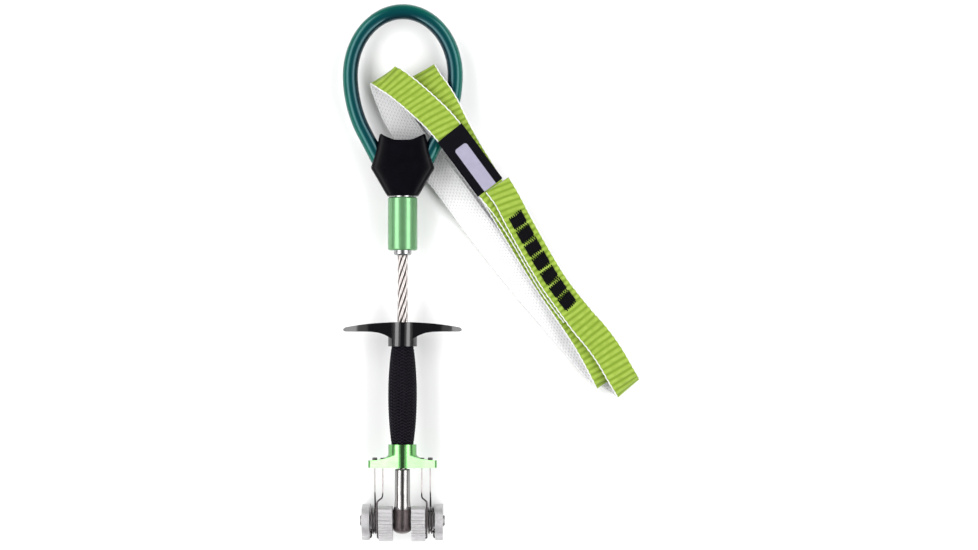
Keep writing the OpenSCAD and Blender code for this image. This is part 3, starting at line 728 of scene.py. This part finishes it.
def lean(at):
    """How far the ribs lean along the strap, per mm across it: they were pulled askew in places."""
    return np.interp(sling_index(at), [0, 0.6, 2.4, 53, 55.5, 60, 62.5],
                     [0.23, 0.2, 0, 0, 0.27, 0.27, 0])


def narrowing(at):
    """The sewing draws the strap in a little where its ends overlap."""
    return np.interp(sling_index(at), [0, 1, 5.6, 7.5, 63, 64.5, 69, 70],
                     [0.96, 0.91, 0.91, 1, 1, 0.93, 0.93, 0.95])


def webbing_green():
    """Green weft over the ribs: yarns side by side across the strap, with small floats, and painted
    shade in the grooves between the ribs.
    """
    p = Paint("green_webbing", Sheen_Weight=0.2, Sheen_Roughness=0.35, Specular_IOR_Level=0.2,
              Roughness=0.75)
    u, v = p.uv()
    across = p.math("SINE", p.math("MULTIPLY", u, TAU / 0.42))
    along = p.math("SINE", p.math("MULTIPLY", v, TAU / 0.39))
    weave = p.math("MULTIPLY", across, along)
    # painted shade: the grooves between the ribs get a darker green
    groove_shade = p.ramp(p.math("COSINE", p.math("MULTIPLY", v, TAU / RIB)), -1.0, 0.5, smooth=True)
    cloud = p.noise(0.35, 3, (1, 1, 0.1))
    body = p.mix(p.ramp(cloud, 0.35, 0.65), (0.200, 0.290, 0.032), (0.250, 0.345, 0.050))
    body = p.mix(groove_shade, (0.135, 0.215, 0.014), body)
    p.color(p.mix(p.ramp(weave, -1, 1, 0.16, 0.0), body, (0.075, 0.125, 0.008)))
    p.bump(weave, 0.03)
    p.bump(p.noise(4, 3), 0.03)
    return p.material


def webbing_white():
    """White back of the webbing: a slanting twill of warp yarns."""
    p = Paint("white_webbing", Sheen_Weight=0.15, Sheen_Roughness=0.4, Specular_IOR_Level=0.2,
              Roughness=0.8)
    u, v = p.uv()
    yarn = p.math("SINE", p.math("MULTIPLY", u, TAU / 0.95))
    step = p.math("SINE", p.math("ADD", p.math("MULTIPLY", v, TAU / 1.55),
                                 p.math("MULTIPLY", u, TAU / 1.9)))
    weave = p.math("ADD", p.math("MULTIPLY", yarn, 0.5), p.math("MULTIPLY", yarn, step))
    cloud = p.noise(0.15, 3)
    body = p.mix(p.ramp(cloud, 0.3, 0.7), (0.57, 0.568, 0.574), (0.62, 0.62, 0.62))
    p.color(p.mix(p.ramp(weave, -1.4, 0.2, 0.8, 0.0), body, (0.34, 0.335, 0.35)))
    p.bump(weave, 0.06)
    return p.material


def webbing(build):
    """The strap: ribbed green weft on top between white edges, over a plain white back."""
    q, at = sling_slice(0, SLING_LENGTH, RIB / 8)
    half_top = [5.72, 5.62, 5.48, 5.3, 4.8, 3.6, 2.4, 1.2]
    top_s = np.array([-x for x in half_top] + [0] + half_top[::-1])
    swell = np.array([0, 0.15, 0.5, 0.9] + [1] * 9 + [0.9, 0.5, 0.15, 0])
    base = np.array([0.15, 0.30, 0.34, 0.32, 0.28] + [0.26] * 7 + [0.28, 0.32, 0.34, 0.30, 0.15])
    half_under = [5.62, 5.45, 5.2, 4.0, 2.0]
    under_s = np.array(half_under + [0] + [-x for x in half_under[::-1]])
    under_h = -np.array([0.2, 0.48] + [WEB_T / 2] * 7 + [0.48, 0.2])
    cols = len(top_s) + len(under_s)
    s = np.concatenate([top_s, under_s])
    # the weave wanders a little, as in any real strap
    wander = (0.22 * np.sin(at / 7.3) + 0.16 * np.sin(at / 3.1 + 1))[:, None] \
        + 0.06 * np.sin(0.55 * s[None] + at[:, None] / 5.3)
    shift = lean(at)[:, None] * s[None] + wander
    rib = (0.5 + 0.5 * np.cos(TAU * (at[:, None] + shift) / RIB)) ** 0.75
    top = len(top_s)
    ring = np.zeros((len(q), cols, 2))
    ring[:, :top, 0] = base + 0.36 * swell * rib[:, :top]
    ring[:, top:, 0] = under_h
    ring[:, :, 1] = s * (1 + 0.03 * (rib - 0.5)) * narrowing(at)[:, None]
    # material 0 is the green weft and 1 the white yarn
    mats = [1] * 3 + [0] * (top - 7) + [1] * (len(under_s) + 4)
    build.sweep(q[:, :3], ring, width=width_of(q), mats=mats, shift=shift)


b = Build()
webbing(b)
sling = b.piece("sling_strap", [webbing_green(), webbing_white()], ["sling_webbing"],
                laid=False, body="sling")

# The label's width, and how high its middle layer is over the webbing's nominal face.
LABEL_W, LABEL_LIFT = 11.9, 0.22
# It lies between these two places of the list SLING.
label_from, label_to = sling_arc(len(SLING) - 11), sling_arc(len(SLING) - 8.1)
LABEL_LENGTH = label_to - label_from
# The pale patch: its width, length and corner radius, how far it runs past the label's end, and
# its middle on the label.
PATCH_W, PATCH_L, PATCH_R = 5.5, 21.5, 1.1
PATCH_OVER = 1.6
PATCH_U = LABEL_W / 2
PATCH_V = LABEL_LENGTH - PATCH_L / 2 + PATCH_OVER


def label_paint():
    """Black satin label with a plain pale woven patch that has rounded corners."""
    p = Paint("black_label", Specular_IOR_Level=0.04)
    u, v = p.uv()
    x = p.math("ABSOLUTE", p.math("SUBTRACT", u, PATCH_U))
    y = p.math("ABSOLUTE", p.math("SUBTRACT", v, PATCH_V))
    dx = p.math("MAXIMUM", p.math("SUBTRACT", x, PATCH_W / 2 - PATCH_R), 0.0)
    dy = p.math("MAXIMUM", p.math("SUBTRACT", y, PATCH_L / 2 - PATCH_R), 0.0)
    far = p.math("SQRT", p.math("ADD", p.math("MULTIPLY", dx, dx), p.math("MULTIPLY", dy, dy)))
    inside = p.ramp(far, PATCH_R + 0.08, PATCH_R - 0.08)
    weft = p.math("SINE", p.math("MULTIPLY", v, TAU / 0.34))
    warp = p.math("SINE", p.math("MULTIPLY", u, TAU / 0.30))
    weave = p.math("MULTIPLY", weft, warp)
    cloud = p.noise(0.5, 3)
    black = p.mix(cloud, (0.0012, 0.0010, 0.0022), (0.0024, 0.0021, 0.0040))
    pale = p.mix(cloud, (0.23, 0.22, 0.29), (0.28, 0.27, 0.35))
    pale = p.mix(p.ramp(weave, -1, 1, 0.25, 0.0), pale, (0.15, 0.14, 0.20))
    p.color(p.mix(inside, black, pale))
    p.shader.inputs["Roughness"].default_value = 0.6
    p.bump(weave, 0.02)
    p.bump(inside, 0.05)
    return p.material


def label(build):
    """A thin band laid over the strap's ribs."""
    q, at = sling_slice(label_from, label_to, 0.3)
    lift = WEB_T / 2 + LABEL_LIFT + 0.03 * np.cos(TAU * at / RIB)
    edge = LABEL_W / 2
    s = np.array([-edge, -5.8, -5.5, -4, -2, 0, 2, 4, 5.5, 5.8, edge])
    h = np.array([0.0, 0.13] + [0.17] * 7 + [0.13, 0.0])
    ring = np.zeros((len(q), 2 * len(s) - 2, 2))
    ring[:, :len(s), 0] = lift[:, None] + h
    ring[:, :len(s), 1] = s
    ring[:, len(s):, 0] = lift[:, None] - h[::-1][1:-1]
    ring[:, len(s):, 1] = s[::-1][1:-1]
    build.sweep(q[:, :3], ring, width=width_of(q))


b = Build()
label(b)
label_ob = b.piece("sling_tag", [label_paint()], ["sling_label"],
                   laid=False, body="sling")

# How many there are, then where the first is and their spacing, in places of the list SLING.
TACKS, TACK_FROM, TACK_PITCH = 7, 2.02, 0.66
TACK_W, TACK_LEN = 5.3, 4.1
TACK_ROWS = 13
# How far every other stitch reaches out at each end, and how the tack's ends slant.
TACK_TOOTH, TACK_LEAN = 0.84, -0.16
STITCH_R, STITCH_FLAT = 0.25, 0.75
RAGGED = 0.12


def thread_paint():
    """Black thread: filaments along it, slightly twisted, with a soft shine."""
    p = Paint("black_thread", Specular_IOR_Level=0.05, Roughness=0.5)
    u, v = p.uv()
    twist = p.math("ADD", p.math("MULTIPLY", u, 10), p.math("MULTIPLY", v, TAU / 1.1))
    line = p.math("SINE", twist)
    shade = p.math("ADD", p.math("MULTIPLY", line, 0.25), p.noise(0.8, 3))
    p.color(p.mix(p.ramp(shade, 0.2, 0.9), (0.0005, 0.0005, 0.001), (0.0018, 0.0016, 0.003)))
    p.bump(line, 0.02)
    return p.material


def tacks(build):
    """Each tack is a row of stitches that lie along the strap, with ragged ends."""
    for i in range(TACKS):
        middle = sling_arc(TACK_FROM + i * TACK_PITCH)
        for k in range(TACK_ROWS):
            s = (k / (TACK_ROWS - 1) - 0.5) * TACK_W
            far, near = (TACK_TOOTH, 0) if k % 2 else (0, TACK_TOOTH)
            here = middle + TACK_LEAN * s
            start = here - TACK_LEN / 2 - near - random.uniform(-RAGGED, RAGGED)
            stop = here + TACK_LEN / 2 + far + random.uniform(-RAGGED, RAGGED)
            q, _ = sling_slice(start, stop, 0.28)
            t = tangents(q[:, :3])
            w = width_of(q)
            w = unit(w - t * np.sum(w * t, axis=1, keepdims=True))
            up = np.cross(t, w)
            u = np.linspace(-1, 1, len(q))
            rise = WEB_T / 2 + 0.17 - 0.34 * np.abs(u) ** 6
            path = q[:, :3] + up * rise[:, None] + w * (s + 0.05 * math.sin(3.1 * k))
            build.sweep(path, circle(8, STITCH_R, STITCH_FLAT), width=w)


b = Build()
tacks(b)
tack_ob = b.piece("bar_stitches", [thread_paint()], ["bar_tacks"], laid=False,
                  body="sling")

# ---------------------------------------------------------------- carried-over CAD nodes
def lobe_paint():
    """Machined and tumbled aluminium: fine cutter lines, soft mottling and small pits."""
    p = Paint("lobe_alloy", Metallic=1.0)
    lines = p.noise(1.0, 3, (7, 0.35, 0.35))
    mottle = p.noise(1.6, 4)
    p.color(p.mix(p.ramp(p.math("ADD", lines, mottle), 0.7, 1.3), (0.475, 0.465, 0.475),
                  (0.58, 0.57, 0.58)))
    p.rough(p.ramp(mottle, 0.3, 0.7, 0.46, 0.60))
    p.bump(lines, 0.0025)
    pits = p.node("TexVoronoi", p.place())
    pits.inputs["Scale"].default_value = 2.2
    p.bump(p.ramp(pits.outputs[0], 0.0, 0.16, smooth=True), 0.02)
    return p.material


lobe_alloy = lobe_paint()
# For each node its material and how wide its edges are rounded, in mm.
cad_looks = {
    "stem_head": (head_steel, 0.15), "stem_terminal": (polished_steel, 0.12),
    "axle": (axle_steel, 0.15), "spring_bushes": (bush_steel, 0.1),
    "inner_lobe_left": (lobe_alloy, 0.12), "inner_lobe_right": (lobe_alloy, 0.12),
    "outer_lobe_left": (lobe_alloy, 0.12), "outer_lobe_right": (lobe_alloy, 0.12),
    "wire_beads": (spring_steel, 0.15), "yoke": (green_metal, 0.16),
    "sheath_liner": (liner_plastic, 0.1), "sheath_clamps": (bush_steel, 0.08),
    "trigger_bar": (trigger_plastic, 0.45), "ferrule": (bare_metal, 0.15),
    "anodised_sleeve": (sleeve_metal, 0.2), "loop_cable": (rope_steel, 0.0)}
for node, (material, soften) in cad_looks.items():
    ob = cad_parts[node]
    for s in ob.material_slots:
        s.material = material
    if not ob.material_slots:
        ob.data.materials.append(material)
    weld = ob.modifiers.new("weld", "WELD")
    weld.merge_threshold = 0.002 * MM
    if soften:
        bevel = ob.modifiers.new("soft_edges", "BEVEL")
        bevel.width = soften * MM
        bevel.segments = 3
        bevel.limit_method = "ANGLE"
        bevel.angle_limit = math.radians(38)
        bevel.use_clamp_overlap = True
        bevel.miter_outer = "MITER_ARC"
    normals = ob.modifiers.new("normals", "WEIGHTED_NORMAL")
    normals.keep_sharp = False
    normals.weight = 60

# ---------------------------------------------------------------- floor, lights, sky
floor_paint = Paint("floor", Roughness=0.7, Specular_IOR_Level=0.05)
floor_paint.color(floor_paint.mix(floor_paint.ramp(floor_paint.noise(0.01, 2), 0.3, 0.7),
                                  (0.71, 0.71, 0.712), (0.73, 0.73, 0.73)))
FLOOR_HALF = 4.0
corners = [(x * FLOOR_HALF, y * FLOOR_HALF, TABLE_Z) for x, y in ((-1, -1), (1, -1), (1, 1), (-1, 1))]
mesh = bpy.data.meshes.new("floor")
mesh.from_pydata(corners, [], [[0, 1, 2, 3]])
mesh.materials.append(floor_paint.material)
floor = bpy.data.objects.new("floor", mesh)
bpy.context.scene.collection.objects.link(floor)

# The lamps aim at this point, and stand this far out and up from it, in metres.
CENTRE = Vector((0.033, 0.095, 0.0))
LAMP_OUT, LAMP_UP = 0.733, 0.70


def softbox(name, side, near, across, along, radiance):
    """A lamp on one side, tilted down at the device, across metres wide and along metres long.
    near moves it closer along the same line."""
    lamp = bpy.data.lights.new(name, "AREA")
    lamp.shape = "RECTANGLE"
    lamp.size, lamp.size_y = along, across
    lamp.energy = radiance * math.pi * across * along
    ob = bpy.data.objects.new(name, lamp)
    place = Vector((CENTRE.x + side * LAMP_OUT * near, CENTRE.y, LAMP_UP * near))
    ob.location = place
    ob.rotation_mode = "QUATERNION"
    ob.rotation_quaternion = (CENTRE - place).to_track_quat("-Z", "Y")
    ob.visible_camera = False
    bpy.context.scene.collection.objects.link(ob)


for side_name, side in SIDES:
    softbox("softbox_" + side_name, side, near=1.0, across=1.15, along=2.2, radiance=1.0)
    softbox("tube_" + side_name, side, near=0.95, across=0.48, along=2.2, radiance=5.0)

# The studio round it is dim and fades upwards.
SKY_LOW, SKY_TOP = 0.35, 0.15
world = bpy.data.worlds.new("studio")
world.use_nodes = True
tree = world.node_tree
sky = tree.nodes["Background"]
co = tree.nodes.new("ShaderNodeTexCoord")
split = tree.nodes.new("ShaderNodeSeparateXYZ")
fade = tree.nodes.new("ShaderNodeMapRange")
fade.inputs["From Min"].default_value = 0.0
fade.inputs["From Max"].default_value = 0.85
fade.inputs["To Min"].default_value = SKY_LOW
fade.inputs["To Max"].default_value = SKY_TOP
tree.links.new(co.outputs["Generated"], split.inputs[0])
tree.links.new(split.outputs[2], fade.inputs["Value"])
tree.links.new(fade.outputs[0], sky.inputs["Strength"])
sky.inputs["Color"].default_value = (1, 1, 1, 1)
bpy.context.scene.world = world
bpy.context.scene.view_settings.view_transform = "Standard"
